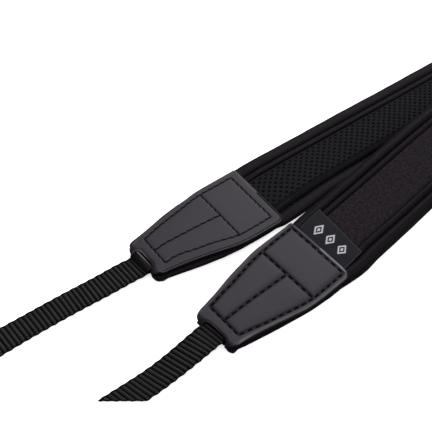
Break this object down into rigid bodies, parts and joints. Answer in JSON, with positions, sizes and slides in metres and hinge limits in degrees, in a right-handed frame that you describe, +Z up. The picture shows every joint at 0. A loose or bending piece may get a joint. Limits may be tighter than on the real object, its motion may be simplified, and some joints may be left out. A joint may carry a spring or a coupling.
{
  "type": "camera neck strap",
  "caption": "Padded camera neck strap folded in half: mesh-lined pad with rolled edges, tapered leatherette end tabs and short flat webbing.",
  "frame": {"origin": "on the surface that the strap lies on, under the middle of its whole box", "axes": "+Z up, +Y along the strap towards its fold, +X across it towards the upper half"},
  "size_m": [0.0712, 0.3808, 0.0314],
  "materials": {
    "outer_fabric": "fine matte knit",
    "mesh_lining": "open spacer mesh",
    "edge_binding": "ribbed jersey with a slight sheen",
    "leatherette": "smooth satin leatherette",
    "tongue": "glossy coated strip",
    "webbing": "ribbed woven webbing",
    "label": "fine woven label",
    "stitching": "sewing thread"
  },
  "bodies": {
    "root": {"outer_fabric": "outer_fabric", "mesh_lining": "mesh_lining", "edge_binding_left": "edge_binding", "edge_binding_right": "edge_binding", "end_tab_left": "leatherette", "end_tab_right": "leatherette", "slot_tongue_left": "tongue", "slot_tongue_right": "tongue", "webbing_left": "webbing", "webbing_right": "webbing", "side_label": "label"}
  },
  "joints": []
}
